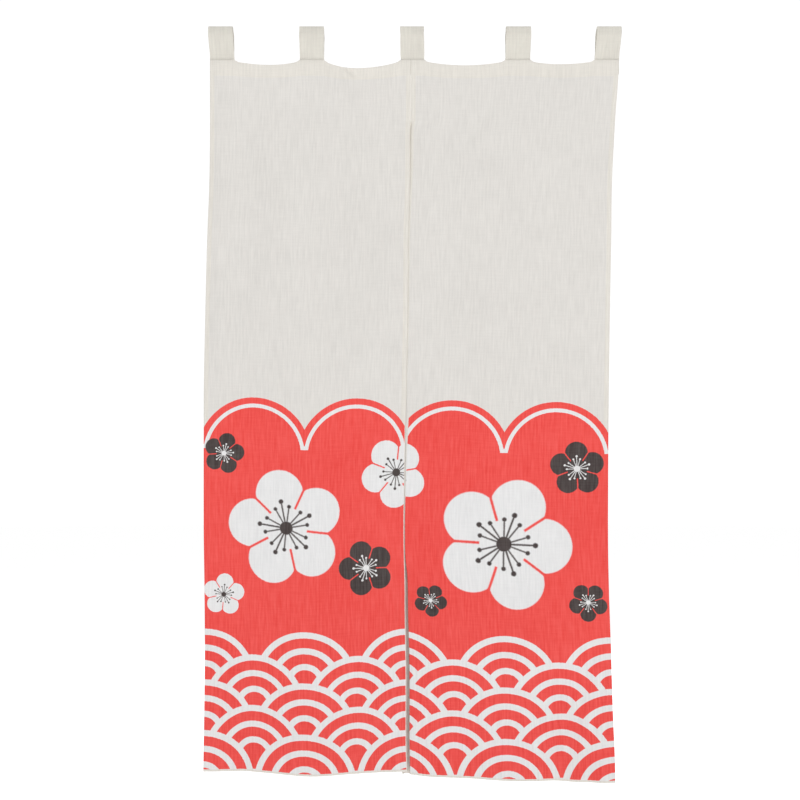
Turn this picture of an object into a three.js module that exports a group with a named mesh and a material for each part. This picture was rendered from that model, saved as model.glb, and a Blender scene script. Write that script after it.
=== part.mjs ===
// A noren: a split door curtain of two hemmed cotton panels that hangs from a rod by five cloth loops.
// Millimetres, +Z up, front towards -Y. The origin is on the line where the loops rest on the rod,
// beside the seam between the panels, so a drop is a distance below the top of the rod.
import * as THREE from "three";

// Panels
const PANEL_WIDTH = 425; // finished width of each panel
const PANEL_LENGTH = 1490; // finished length of each panel
const CLOTH = 1.2; // one layer of cloth
const HEM_TURN = 1.0; // what a turned-back hem adds behind the cloth
const TOP_HEM = 30; // depth of the hem that carries the loops
const SIDE_HEM = 9; // width of the hem down each side of a panel
const FOOT_HEM = 10; // depth of the hem along the bottom
const HEM_STEP = 1.5; // width of the step from a hem down to the single cloth
const SEWN_GAP = 0.3; // between pieces that are sewn to each other
const SEAM_X = -0.5; // the seam that joins the panels at the top

// Loops
const ROD_ROOM = 31; // inside diameter of a loop's crown, for rods up to 30
const LOOP_DROP = 72; // from the rod line to the panels' top edge
const LOOP_TAIL = 27; // how far a loop's sewn end runs down behind the top hem
const LOOP_STEPS = 3; // divisions across a loop's width
const CROWN_STEPS = 11; // divisions of each half of a loop's crown

// Divisions of a panel's lattice between the lines near its edges
const COLUMNS = 22;
const ROWS = 31;

// How the cloth hangs
const SAG_FADE = 50; // drop over which the sag of the top edge dies away
const FOLD_START = 90; // folds begin below the loops
const FOLD_FULL = 210; // and have their full depth from here down
const FOLD_TAPER = 0.3; // share of a fold's run over which each end dies away
const SLIT_REACH = 70; // how far from the slit its opening bends a panel
const STRIP_WIDTH = 17; // the widest strip along the slit that is bent into a trough
const TROUGH_FALL = 0.4; // share of that strip over which the trough deepens from the panel's edge
const TROUGH_RISE = 2; // width over which the cloth comes forward again beyond it

const LOOP_FACE = CLOTH + SEWN_GAP + HEM_TURN + CLOTH; // from the loops' middle to the panels' front
const SEAM_LEFT = SEAM_X - SEWN_GAP / 2;
const SEAM_RIGHT = SEAM_X + SEWN_GAP / 2;

// The loops from left to right: the middle of each at the top edge and on the rod, and its width.
const LOOPS = [
  { name: "loop_1", base: -393.1, crown: -396.8, width: 51 },
  { name: "loop_2", base: -206.3, crown: -206.9, width: 51 },
  { name: "loop_3", base: 3.2, crown: 2.2, width: 49.5 },
  { name: "loop_4", base: 222.5, crown: 224, width: 52 },
  { name: "loop_5", base: 407.9, crown: 413, width: 51 },
];

// The top edge between neighbouring loops: how far it sags, how far it tips forward, and the share of the
// way across where it hangs lowest.
const BAYS = [
  { sag: 8, tip: 4, low: 0.55 },
  { sag: 15.5, tip: 8, low: 0.42 },
  { sag: 9, tip: 4, low: 0.5 },
  { sag: 6.5, tip: 3, low: 0.45 },
];

// Where the outer edges hang, row by row down the curtain.
const OUTER_EDGES = [
  { drop: 72, left: -419, right: 433 },
  { drop: 195, left: -419, right: 425.5 },
  { drop: 330, left: -421, right: 418.5 },
  { drop: 430, left: -425, right: 417.5 },
  { drop: 600, left: -429.5, right: 414.5 },
  { drop: 790, left: -432, right: 412 },
  { drop: 1040, left: -432, right: 410.5 },
  { drop: 1170, left: -430.5, right: 412.5 },
  { drop: 1300, left: -429.5, right: 417 },
  { drop: 1440, left: -431, right: 421 },
  { drop: 1575, left: -433, right: 425.5 },
];

// The slit: the inner edges of the left and right panels. Lift brings the left panel's edge forward, set
// takes the right panel's back, and trough is the depth of the narrow fold in a strip along the latter.
const SLIT = [
  { drop: 72, left: SEAM_LEFT, right: SEAM_RIGHT, lift: 0, set: 0, trough: 0, strip: 5 },
  { drop: 195, left: SEAM_LEFT, right: SEAM_RIGHT, lift: 0, set: 0, trough: 0, strip: 5 },
  { drop: 215, left: -1.2, right: -0.8, lift: 1, set: 2, trough: 1, strip: 5 },
  { drop: 250, left: -2, right: -1.6, lift: 1.5, set: 2.2, trough: 2, strip: 5 },
  { drop: 290, left: -2.2, right: -5, lift: 1.8, set: 2.2, trough: 2, strip: 6 },
  { drop: 346, left: -3, right: -8, lift: 1.8, set: 2, trough: 0.8, strip: 8 },
  { drop: 430, left: -5.5, right: -12, lift: 1.5, set: 1.8, trough: 0, strip: 10 },
  { drop: 600, left: -7, right: -14, lift: 1.5, set: 1.8, trough: 0, strip: 10 },
  { drop: 790, left: -10.5, right: -20, lift: 1.5, set: 1.8, trough: 0.3, strip: 11 },
  { drop: 900, left: -12.5, right: -25, lift: 1.6, set: 1.8, trough: 1.6, strip: 13.5 },
  { drop: 1040, left: -14, right: -29, lift: 1.8, set: 2, trough: 3.6, strip: 16 },
  { drop: 1100, left: -13.5, right: -28.3, lift: 1.8, set: 2, trough: 5, strip: 16.5 },
  { drop: 1150, left: -12, right: -24, lift: 2, set: 2, trough: 12, strip: STRIP_WIDTH },
  { drop: 1225, left: -11.5, right: -22.5, lift: 2, set: 2, trough: 13, strip: STRIP_WIDTH },
  { drop: 1340, left: -9.8, right: -19.8, lift: 2, set: 2, trough: 13, strip: STRIP_WIDTH },
  { drop: 1490, left: -9.6, right: -19.6, lift: 2, set: 2, trough: 13, strip: STRIP_WIDTH },
  { drop: 1575, left: -7.5, right: -18.3, lift: 2, set: 2, trough: 12, strip: STRIP_WIDTH },
];

// The bottom edge of each panel, by the share of its width from the viewer's left.
const FEET = {
  panel_left: [
    { across: 0, drop: 1552 },
    { across: 0.18, drop: 1552 },
    { across: 0.4, drop: 1558 },
    { across: 0.55, drop: 1561 },
    { across: 0.75, drop: 1557.5 },
    { across: 1, drop: 1552 },
  ],
  panel_right: [
    { across: 0, drop: 1557.5 },
    { across: 0.13, drop: 1563 },
    { across: 0.35, drop: 1568 },
    { across: 0.5, drop: 1571 },
    { across: 0.63, drop: 1572 },
    { across: 0.8, drop: 1574 },
    { across: 1, drop: 1575 },
  ],
};

// Soft folds: a line from one point to another, how deep it lies (minus comes forward) and its half width.
// A fold that runs out over the bottom edge ends below it.
const FOLDS = {
  panel_left: [
    { x: -424, drop: 180, toX: -434, toDrop: 760, depth: 7, half: 34 },
    { x: -342, drop: 130, toX: -322, toDrop: 560, depth: 4.5, half: 40 },
    { x: -262, drop: 210, toX: -240, toDrop: 820, depth: -3.5, half: 52 },
    { x: -166, drop: 230, toX: -142, toDrop: 640, depth: 5, half: 44 },
    { x: -70, drop: 330, toX: -84, toDrop: 1020, depth: -3, half: 54 },
    { x: -380, drop: 1180, toX: -338, toDrop: 1800, depth: 6, half: 52 },
    { x: -240, drop: 1060, toX: -196, toDrop: 1860, depth: -9, half: 92 },
    { x: -98, drop: 1160, toX: -84, toDrop: 1800, depth: 5, half: 56 },
  ],
  panel_right: [
    { x: 184, drop: 112, toX: 122, toDrop: 262, depth: 3.5, half: 24 },
    { x: 92, drop: 150, toX: 66, toDrop: 300, depth: 3, half: 30 },
    { x: 262, drop: 120, toX: 312, toDrop: 300, depth: 2.5, half: 28 },
    { x: 190, drop: 330, toX: 166, toDrop: 980, depth: -4.5, half: 78 },
    { x: 380, drop: 280, toX: 340, toDrop: 680, depth: 6, half: 44 },
    { x: 300, drop: 740, toX: 346, toDrop: 1080, depth: 5, half: 46 },
    { x: 90, drop: 1000, toX: 118, toDrop: 1840, depth: 4, half: 66 },
    { x: 240, drop: 1100, toX: 214, toDrop: 1840, depth: -6, half: 70 },
    { x: 386, drop: 1210, toX: 262, toDrop: 1770, depth: 11, half: 46 },
    { x: 414, drop: 1380, toX: 384, toDrop: 1840, depth: -6, half: 36 },
  ],
};

const { lerp, smoothstep, clamp } = THREE.MathUtils;

// The value in a table's column at a key, on a smooth curve through the rows that never overshoots them.
function readTable(rows, key, column, at) {
  const last = rows.length - 1;
  const row = (n) => rows[clamp(n, 0, last)];
  const after = rows.findIndex((entry) => entry[key] > at);
  const i = after < 0 ? last - 1 : Math.max(after - 1, 0);
  const slope = (n) => {
    const rise = row(n)[column] - row(n - 1)[column];
    const nextRise = row(n + 1)[column] - row(n)[column];
    return rise * nextRise > 0 ? (rise + nextRise) / (row(n + 1)[key] - row(n - 1)[key]) : 0;
  };
  const span = row(i + 1)[key] - row(i)[key];
  const t = clamp((at - row(i)[key]) / span, 0, 1);
  const between = lerp(row(i)[column], row(i + 1)[column], t * t * (3 - 2 * t));
  return between + span * t * (1 - t) * ((1 - t) * slope(i) - t * slope(i + 1));
}

// A soft bump: 1 in the middle, 0 from one half width outwards.
const bump = (q) => (Math.abs(q) < 1 ? 0.5 + 0.5 * Math.cos(Math.PI * q) : 0);

// How far a fold moves the cloth back at a point of the curtain.
function foldDepth(fold, x, drop) {
  const run = fold.toDrop - fold.drop;
  const along = clamp((drop - fold.drop) / run, 0, 1);
  const ends = smoothstep(along, 0, FOLD_TAPER) * smoothstep(1 - along, 0, FOLD_TAPER);
  return fold.depth * ends * bump((x - lerp(fold.x, fold.toX, along)) / fold.half);
}

// The bay between two loops that a place on the top edge lies in, and how far it gives way there.
function bayAt(x) {
  for (let i = 0; i < BAYS.length; i += 1) {
    const start = LOOPS[i].base + LOOPS[i].width / 2;
    const end = LOOPS[i + 1].base - LOOPS[i + 1].width / 2;
    if (x > start && x < end) {
      const { sag, tip, low } = BAYS[i];
      const fromLow = (x - start) / (end - start) - low;
      const reach = fromLow < 0 ? low : 1 - low;
      return { sag, tip, give: 1 - (fromLow / reach) ** 2 };
    }
  }
  return { sag: 0, tip: 0, give: 0 };
}

// The front of a panel: across and down run from 0 to 1 over its finished width and length.
function panelFront(name, across, down) {
  const isLeft = name === "panel_left";
  const foot = readTable(FEET[name], "across", "drop", across);
  const level = lerp(LOOP_DROP, foot, down);
  const slit = (column) => readTable(SLIT, "drop", column, level);
  const outer = readTable(OUTER_EDGES, "drop", isLeft ? "left" : "right", level);
  const inner = slit(isLeft ? "left" : "right");
  const x = isLeft ? lerp(outer, inner, across) : lerp(inner, outer, across);

  const bay = bayAt(x);
  const give = bay.give * Math.exp((LOOP_DROP - level) / SAG_FADE);
  const drop = level + bay.sag * give;

  const folded = smoothstep(drop, FOLD_START, FOLD_FULL);
  let back = -bay.tip * give;
  for (const fold of FOLDS[name]) back += folded * foldDepth(fold, x, drop);
  const fromSlit = Math.abs(x - inner);
  const bend = bump(fromSlit / SLIT_REACH);
  if (isLeft) {
    back -= slit("lift") * bend;
  } else {
    const strip = slit("strip");
    const fall = smoothstep(fromSlit, 0, TROUGH_FALL * strip);
    const rise = smoothstep(fromSlit, strip - TROUGH_RISE, strip);
    back += slit("set") * bend + slit("trough") * fall * (1 - rise);
  }
  return new THREE.Vector3(x, back - LOOP_FACE, -drop);
}

// Lattice lines along a length, as shares of it: lines near each end, even divisions between them.
function latticeLines(length, nearStart, nearEnd, divisions) {
  const first = nearStart.at(-1);
  const last = length - nearEnd.at(-1);
  const lines = [...nearStart];
  for (let i = 1; i < divisions; i += 1) lines.push(lerp(first, last, i / divisions));
  for (const line of nearEnd.toReversed()) lines.push(length - line);
  return lines.map((line) => line / length);
}

// Lines across a hem: its edge, its middle, its sewn line and the foot of its step.
const hemLines = (hem) => [0, hem / 2, hem, hem + HEM_STEP];

// A closed sheet: a lattice of front points, the same lattice set back square to itself by its thickness,
// and the rim.
function sheetGeometry(acrossLines, downLines, frontAt, thicknessAt) {
  const wide = acrossLines.length;
  const tall = downLines.length;
  const layer = wide * tall;
  const points = downLines.map((down) => acrossLines.map((across) => frontAt(across, down)));
  const pointAt = (column, row) => points[clamp(row, 0, tall - 1)][clamp(column, 0, wide - 1)];
  const front = [];
  const rear = [];
  downLines.forEach((down, row) => {
    acrossLines.forEach((across, column) => {
      const point = pointAt(column, row);
      const sideways = pointAt(column + 1, row).clone().sub(pointAt(column - 1, row));
      const downwards = pointAt(column, row + 1).clone().sub(pointAt(column, row - 1));
      const toRear = sideways.cross(downwards).setLength(thicknessAt(across, down));
      front.push(...point);
      rear.push(...toRear.add(point));
    });
  });

  const faces = [];
  const quad = (a, b, c, d) => faces.push(a, b, c, a, c, d);
  const at = (column, row) => row * wide + column;
  for (let row = 0; row < tall - 1; row += 1) {
    for (let column = 0; column < wide - 1; column += 1) {
      const corners = [at(column, row), at(column, row + 1), at(column + 1, row + 1), at(column + 1, row)];
      quad(...corners);
      quad(...corners.map((corner) => corner + layer).reverse());
    }
  }

  const rim = [];
  for (let row = 0; row < tall - 1; row += 1) rim.push(at(0, row));
  for (let column = 0; column < wide - 1; column += 1) rim.push(at(column, tall - 1));
  for (let row = tall - 1; row > 0; row -= 1) rim.push(at(wide - 1, row));
  for (let column = wide - 1; column > 0; column -= 1) rim.push(at(column, 0));
  rim.forEach((here, i) => {
    const next = rim[(i + 1) % rim.length];
    quad(here, here + layer, next + layer, next);
  });

  const geometry = new THREE.BufferGeometry();
  geometry.setAttribute("position", new THREE.Float32BufferAttribute([...front, ...rear], 3));
  geometry.setIndex(faces);
  geometry.computeVertexNormals();
  return geometry;
}

// One panel: single cloth with its hems turned to the back on all four sides.
function makePanel(name, material) {
  const sideLines = [...hemLines(SIDE_HEM), STRIP_WIDTH - TROUGH_RISE, STRIP_WIDTH];
  const acrossLines = latticeLines(PANEL_WIDTH, sideLines, sideLines, COLUMNS);
  const downLines = latticeLines(PANEL_LENGTH, hemLines(TOP_HEM), hemLines(FOOT_HEM), ROWS);
  const front = (across, down) => panelFront(name, across, down);
  const thickness = (across, down) => {
    const pastSide = Math.min(across, 1 - across) * PANEL_WIDTH - SIDE_HEM;
    const pastTop = down * PANEL_LENGTH - TOP_HEM;
    const pastFoot = (1 - down) * PANEL_LENGTH - FOOT_HEM;
    const pastHem = Math.min(pastSide, pastTop, pastFoot);
    return CLOTH + HEM_TURN * (1 - clamp(pastHem / HEM_STEP, 0, 1));
  };
  const panel = new THREE.Mesh(sheetGeometry(acrossLines, downLines, front, thickness), material);
  panel.name = name;
  return panel;
}

// A loop's section across the rod: a strip over the crown whose ends lie together behind the top hem.
function loopSection() {
  const inner = ROD_ROOM / 2;
  const outer = inner + CLOTH;
  const below = LOOP_DROP - inner; // from the crown's middle down to the top edge
  const slant = Math.atan2(below, CLOTH) - Math.acos(outer / Math.hypot(below, CLOTH));
  const end = LOOP_DROP + LOOP_TAIL;

  const section = new THREE.Shape();
  section.moveTo(-CLOTH, -end);
  section.lineTo(CLOTH, -end);
  section.lineTo(CLOTH, -LOOP_DROP);
  section.absarc(0, -inner, outer, -slant, Math.PI + slant, false);
  section.lineTo(-CLOTH, -LOOP_DROP);
  section.closePath();

  const rodWay = new THREE.Path();
  rodWay.absarc(0, -inner, inner, Math.PI + slant, -slant, true);
  rodWay.lineTo(0, -inner - inner / Math.sin(slant));
  rodWay.closePath();
  section.holes.push(rodWay);
  return section;
}

// One loop: the section drawn out to the strip's width, leaning from its base to its place on the rod.
function makeLoop({ name, base, crown, width }, section, material) {
  const geometry = new THREE.ExtrudeGeometry(section, {
    depth: width,
    steps: LOOP_STEPS,
    curveSegments: CROWN_STEPS,
    bevelEnabled: false,
  });
  const position = geometry.attributes.position;
  for (let i = 0; i < position.count; i += 1) {
    const y = position.getX(i);
    const z = position.getY(i);
    const along = position.getZ(i) - width / 2;
    const middle = lerp(crown, base, Math.min(-z / LOOP_DROP, 1));
    position.setXYZ(i, middle + along, y, z);
  }
  geometry.computeVertexNormals();
  const loop = new THREE.Mesh(geometry, material);
  loop.name = name;
  return loop;
}

const panelCotton = new THREE.MeshStandardMaterial({ color: 0xe2dfd8, roughness: 0.92, metalness: 0 });
const loopCotton = new THREE.MeshStandardMaterial({ color: 0xe3dfd5, roughness: 0.92, metalness: 0 });

const noren = new THREE.Group();
for (const name of ["panel_left", "panel_right"]) noren.add(makePanel(name, panelCotton.clone()));
const section = loopSection();
for (const loop of LOOPS) noren.add(makeLoop(loop, section, loopCotton.clone()));

export default noren;
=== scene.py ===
import math

import bpy
import numpy as np
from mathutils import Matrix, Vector


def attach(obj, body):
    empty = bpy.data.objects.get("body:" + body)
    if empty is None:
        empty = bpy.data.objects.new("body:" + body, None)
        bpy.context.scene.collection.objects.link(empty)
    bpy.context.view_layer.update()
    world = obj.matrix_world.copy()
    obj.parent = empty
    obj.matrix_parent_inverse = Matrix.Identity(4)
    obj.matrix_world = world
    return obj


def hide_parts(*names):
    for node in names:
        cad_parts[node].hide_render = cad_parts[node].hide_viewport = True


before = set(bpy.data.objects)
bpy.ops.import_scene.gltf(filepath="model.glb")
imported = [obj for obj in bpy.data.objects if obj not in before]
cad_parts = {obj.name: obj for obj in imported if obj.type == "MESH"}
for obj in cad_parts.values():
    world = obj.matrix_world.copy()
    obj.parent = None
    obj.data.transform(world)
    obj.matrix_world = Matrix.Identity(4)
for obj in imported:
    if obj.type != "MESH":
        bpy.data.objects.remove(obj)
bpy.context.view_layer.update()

# Panels
PANEL_WIDTH = 0.425  # finished width of each panel
PANEL_LENGTH = 1.490  # finished length of each panel
PANEL_FACE = 0.0037  # from the loops' middle to the panels' front
CLOTH = 0.0008  # one layer of cloth
HEM_THICK = 0.0022  # a hem's folded layers
TOP_HEM = 0.030  # depth of the hem that carries the loops
SIDE_HEM = 0.009  # width of the hem down each side
FOOT_HEM = 0.010  # depth of the hem along the bottom
HEM_STEP = 0.0015  # width of the step from a hem down to the single cloth
SEAM_LEFT, SEAM_RIGHT = -0.00065, -0.00035  # the panels' inner edges where they are sewn together

# Loops
ROD_ROOM = 0.031  # inside diameter of a loop's crown
LOOP_DROP = 0.072  # from the rod line to the panels' top edge
LOOP_PINCH = 0.067  # where a loop's two layers come together, just above that edge
LOOP_WAVER = ((0.00025, 0.009), (0.00015, 0.0041))  # how far a loop's sides waver, and over what length
LOOP_TAIL = 0.027  # how far a loop's sewn end runs down behind the top hem
LOOP_CLOTH = 0.0011  # thickness of a loop's folded strip
LAYER_GAP = 0.00014  # between the two layers of a loop's tail

# How the cloth hangs
SAG_FADE = 0.050  # drop over which the sag of the top edge dies away
FOLD_START, FOLD_FULL = 0.090, 0.210  # where folds begin below the loops and have their full depth
FOLD_TAPER = 0.3  # share of a fold's run over which each end dies away
SLIT_REACH = 0.070  # how far from the slit its opening bends a panel
STRIP_WIDTH = 0.017  # the widest strip along the slit that is bent into a trough
TROUGH_FALL = 0.4  # share of that strip over which the trough deepens from the panel's edge
TROUGH_RISE = 0.002  # width over which the cloth comes forward again beyond it
DRAW_UP = 0.0038  # how far a loop draws the top edge up
DRAW_WIDTH = 0.010  # width of the curve beside a loop where the edge comes down again
DRAW_FADE = 0.012  # drop over which that dies away
EDGE_ROLL = 0.0013  # how far a folded edge rounds back
EDGE_THIN = 0.9  # share of a hem's extra thickness that is lost there
EDGE_REACH = 0.003  # how far the rounding runs in from the edge
PUCKER = 0.00035  # height of the puckers along a sewn line
PUCKER_REACH = 0.012  # how far they run from it
PUCKER_PITCH = 0.0036  # length along the line over which they turn through one radian
PUCKER_DRIFT = ((2.2, 0.031), (1.3, 0.0117))  # how their spacing drifts: radians, and over what length
PUCKER_SWELL = (0.6, 0.4, 0.043, 1.1)  # their height: its mean and change, over what length, and phase
RIGHT_SHIFT, FOOT_SHIFT = 0.4, 0.7  # starts of two sewn lines, so that no two lines pucker alike

# Spacing of the points: evenly over a panel, and closer on lines near its edges
COLUMN_STEP, ROW_STEP, STRIP_STEP = 0.0046, 0.0052, 0.001
EDGE_LINES = (0, 0.0008, 0.0018, EDGE_REACH)
SIDE_LINES = (*EDGE_LINES, 0.005, 0.007, SIDE_HEM, SIDE_HEM + HEM_STEP, 0.014)
FOOT_LINES = (0.006, FOOT_HEM, FOOT_HEM + HEM_STEP, 0.016, 0.021, 0.026)
END_LINES = (*EDGE_LINES, *FOOT_LINES, TOP_HEM, TOP_HEM + HEM_STEP, 0.036)
STRIP_START = 0.004  # where the closer lines of the strip along the slit begin
LINE_DIGITS = 5  # lines that agree to this many decimals are one
WEIGHT_DIGITS = 3  # decimals of the weights that thicken the hems
CROWN_POINTS, SIDE_POINTS, TAIL_POINTS = 37, 12, 9  # along a loop
LOOP_COLUMNS = 17  # across it
CLOTH_ANGLE, THREAD_ANGLE = 50, 80  # degrees between faces up to which cloth and thread are shaded smooth

# The loops: the middle of each at the top edge and on the rod, and its width
LOOPS = {
    "name": ("loop_1", "loop_2", "loop_3", "loop_4", "loop_5"),
    "base": (-0.3931, -0.2063, 0.0032, 0.2225, 0.4079),
    "crown": (-0.3968, -0.2069, 0.0022, 0.2240, 0.4130),
    "width": (0.0510, 0.0510, 0.0495, 0.0520, 0.0510),
}

# The top edge between neighbouring loops: how far it sags, how far it tips forward, and the share of the
# way across where it hangs lowest
BAYS = {
    "sag": (0.008, 0.0155, 0.009, 0.0065),
    "tip": (0.004, 0.008, 0.004, 0.003),
    "low": (0.55, 0.42, 0.5, 0.45),
}

# Where the outer edges hang
OUTER_EDGES = {
    "drop": (0.072, 0.195, 0.330, 0.430, 0.600, 0.790, 1.040, 1.170, 1.300, 1.440, 1.575),
    "left": (-0.419, -0.419, -0.421, -0.425, -0.4295, -0.432, -0.432, -0.4305, -0.4295, -0.431, -0.433),
    "right": (0.433, 0.4255, 0.4185, 0.4175, 0.4145, 0.412, 0.4105, 0.4125, 0.417, 0.421, 0.4255),
}

# The slit, row by row: the drop, where the left and right panels' inner edges hang, the lift that brings the
# left edge forward, the set that takes the right one back, the depth of the narrow trough in a strip along
# the right panel's edge, and the width of that strip
SLIT = dict(zip(("drop", "left", "right", "lift", "set", "trough", "strip"), zip(
    (0.072, SEAM_LEFT, SEAM_RIGHT, 0, 0, 0, 0.0050),
    (0.195, SEAM_LEFT, SEAM_RIGHT, 0, 0, 0, 0.0050),
    (0.200, -0.0012, -0.0016, 0.0013, 0.0018, 0.0022, 0.0050),
    (0.216, -0.0020, -0.0040, 0.0016, 0.0021, 0.0026, 0.0052),
    (0.290, -0.0022, -0.0050, 0.0016, 0.0021, 0.0017, 0.0060),
    (0.346, -0.0030, -0.0080, 0.0014, 0.0017, 0.0002, 0.0080),
    (0.430, -0.0055, -0.0120, 0.0014, 0.0016, 0, 0.0100),
    (0.600, -0.0070, -0.0140, 0.0014, 0.0016, 0, 0.0100),
    (0.790, -0.0105, -0.0200, 0.0015, 0.0018, 0.0003, 0.0110),
    (0.900, -0.0125, -0.0250, 0.0016, 0.0018, 0.0016, 0.0135),
    (1.040, -0.0140, -0.0290, 0.0018, 0.0020, 0.0036, 0.0160),
    (1.100, -0.0135, -0.0283, 0.0018, 0.0020, 0.0050, 0.0165),
    (1.150, -0.0120, -0.0240, 0.0020, 0.0020, 0.0120, STRIP_WIDTH),
    (1.225, -0.0115, -0.0225, 0.0020, 0.0020, 0.0130, STRIP_WIDTH),
    (1.340, -0.0098, -0.0198, 0.0020, 0.0020, 0.0130, STRIP_WIDTH),
    (1.490, -0.0096, -0.0196, 0.0020, 0.0020, 0.0130, STRIP_WIDTH),
    (1.575, -0.0075, -0.0183, 0.0020, 0.0020, 0.0120, STRIP_WIDTH),
)))

# The bottom edge of each panel, by the share of its width from the viewer's left
FEET = {
    "panel_left": {
        "across": (0, 0.18, 0.4, 0.55, 0.75, 1),
        "drop": (1.552, 1.552, 1.558, 1.561, 1.5575, 1.552),
    },
    "panel_right": {
        "across": (0, 0.13, 0.35, 0.5, 0.63, 0.8, 1),
        "drop": (1.5575, 1.563, 1.568, 1.571, 1.572, 1.574, 1.575),
    },
}

# Soft folds, each from one place to another: x and drop, then where it ends, how deep it lies (minus comes
# forward) and its half width. A fold that runs out over the bottom edge ends below it.
FOLDS = {
    "panel_left": (
        (-0.424, 0.180, -0.434, 0.760, 0.007, 0.034),
        (-0.342, 0.130, -0.322, 0.560, 0.0045, 0.040),
        (-0.262, 0.210, -0.240, 0.820, -0.0035, 0.052),
        (-0.166, 0.230, -0.142, 0.640, 0.005, 0.044),
        (-0.070, 0.330, -0.084, 1.020, -0.003, 0.054),
        (-0.380, 1.180, -0.338, 1.800, 0.006, 0.052),
        (-0.240, 1.060, -0.196, 1.860, -0.009, 0.092),
        (-0.098, 1.160, -0.084, 1.800, 0.005, 0.056),
    ),
    "panel_right": (
        (0.184, 0.112, 0.122, 0.262, 0.0035, 0.024),
        (0.092, 0.150, 0.066, 0.300, 0.003, 0.030),
        (0.262, 0.120, 0.312, 0.300, 0.0025, 0.028),
        (0.190, 0.330, 0.166, 0.980, -0.0045, 0.078),
        (0.380, 0.280, 0.340, 0.680, 0.006, 0.044),
        (0.300, 0.740, 0.346, 1.080, 0.005, 0.046),
        (0.090, 1.000, 0.118, 1.840, 0.004, 0.066),
        (0.240, 1.100, 0.214, 1.840, -0.006, 0.070),
        (0.386, 1.210, 0.262, 1.770, 0.011, 0.046),
        (0.414, 1.380, 0.384, 1.840, -0.006, 0.036),
    ),
}

# Narrow creases, with the same columns
CREASES = {
    "panel_left": (
        (-0.150, 0.078, -0.112, 0.110, 0.0034, 0.007),
        (-0.176, 0.110, -0.204, 0.196, 0.0007, 0.010),
        (-0.240, 0.104, -0.262, 0.176, 0.0006, 0.009),
        (-0.364, 0.112, -0.340, 0.212, 0.0009, 0.012),
        (-0.022, 0.116, -0.040, 0.236, 0.0007, 0.010),
        (-0.300, 0.620, -0.262, 0.760, 0.0008, 0.016),
        (-0.120, 0.700, -0.150, 0.860, -0.0007, 0.018),
    ),
    "panel_right": (
        (0.056, 0.160, 0.076, 0.224, 0.0010, 0.008),
        (0.036, 0.112, 0.052, 0.200, 0.0006, 0.009),
        (0.252, 0.108, 0.276, 0.196, 0.0007, 0.010),
        (0.380, 0.108, 0.356, 0.204, 0.0008, 0.011),
        (0.420, 0.150, 0.404, 0.300, 0.0008, 0.012),
        (0.110, 0.640, 0.146, 0.800, 0.0008, 0.018),
        (0.340, 0.900, 0.300, 1.040, -0.0008, 0.018),
    ),
}
LOOP_CREASES = {
    "loop_1": ((-0.405, 0.020, -0.392, 0.054, 0.0006, 0.006),),
    "loop_2": ((-0.214, 0.030, -0.203, 0.060, 0.0005, 0.006),),
    "loop_3": ((0.012, 0.022, 0.000, 0.058, 0.0005, 0.006),),
    "loop_4": ((0.246, 0.018, 0.212, 0.066, 0.0012, 0.005),),
    "loop_5": ((0.404, 0.024, 0.416, 0.060, 0.0006, 0.006),),
}

# Slow unevenness of the hanging cloth: wavelengths across and down, phase and height
UNEVEN = (
    (0.210, 0.560, 0.4, 0.0007),
    (0.130, -0.400, 2.1, 0.0005),
    (0.083, 0.310, 4.4, 0.0003),
    (0.047, -0.230, 1.3, 0.0002),
)

# Print, on each panel's flat plan: across from the seam and up from the bottom edge
CREST_PITCH = PANEL_WIDTH / 2  # from one scallop of the red field's crest to the next
CREST_RADIUS = 0.1205
CREST_MIDDLE = 0.665  # height of the scallops' centres
CREST_FLOOR = 0.700  # height that the field reaches everywhere
CREST_LINE = (0.013, 0.021)  # the white line inside the crest, from its edge
BARE_FOOT = 0.005  # strip left bare along the bottom edge
BARE_EDGE = 0.0016  # and along the left panel's inner edge
BARE_STRIP = 0.0158  # and along the right panel's inner edge
WAVE_RADIUS = PANEL_WIDTH / 4
WAVE_ROWS = 5
WAVE_RINGS = 3  # white rings on each wave
WAVE_TOP = 0.300  # height of the topmost wave's crown
WAVE_BAND = 0.31  # from one white ring to the next, as a share of the radius
WAVE_LINE = 0.06  # half a ring's width
FRONT_DYE, REVERSE_DYE, THREAD_DYE = 0.97, 0.62, 0.85  # how strongly each takes the dye
PRINT_SOFT = 0.0012  # how far the dye's edge blurs
PRINT_STRAY = 0.0006  # how far it strays from the drawn line
STRAY_PATCH = (0.004, 0.004)  # the stretches over which it strays
RED_PATCH = (0.16, 0.22)  # paler and deeper patches of the red

# Blossoms: centre, radius, turn in radians
PALE_BLOSSOMS = (
    (-0.250, 0.515, 0.122, 0.20),
    (0.215, 0.490, 0.138, -0.35),
    (-0.018, 0.628, 0.074, 0.55),
    (-0.384, 0.372, 0.044, -0.10),
)
DARK_BLOSSOMS = (
    (-0.082, 0.430, 0.058, 0.30),
    (0.362, 0.648, 0.056, 0.05),
    (-0.382, 0.668, 0.043, -0.25),
    (0.382, 0.372, 0.040, 0.60),
    (0.062, 0.368, 0.034, -0.50),
)

# A blossom's proportions, as shares of its radius
PETALS = 5
PETAL_PLACE, PETAL_ROUND = 0.59, 0.41  # how far out a petal's middle lies, and its own radius
HEART = 0.32  # within this the petals have grown together
PETAL_GAP, GAP_START = 0.020, 0.36  # half the gap between petals, and where it begins
BUTTON = 0.115  # the blossom's middle
STAMENS = ((0.0, 0.46, 0.014, 0.040), (0.33, 0.37, 0.012, 0.034))  # turn, length, half width, tip
BLOSSOM_SOFT = 0.012  # how far its edges blur

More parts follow.
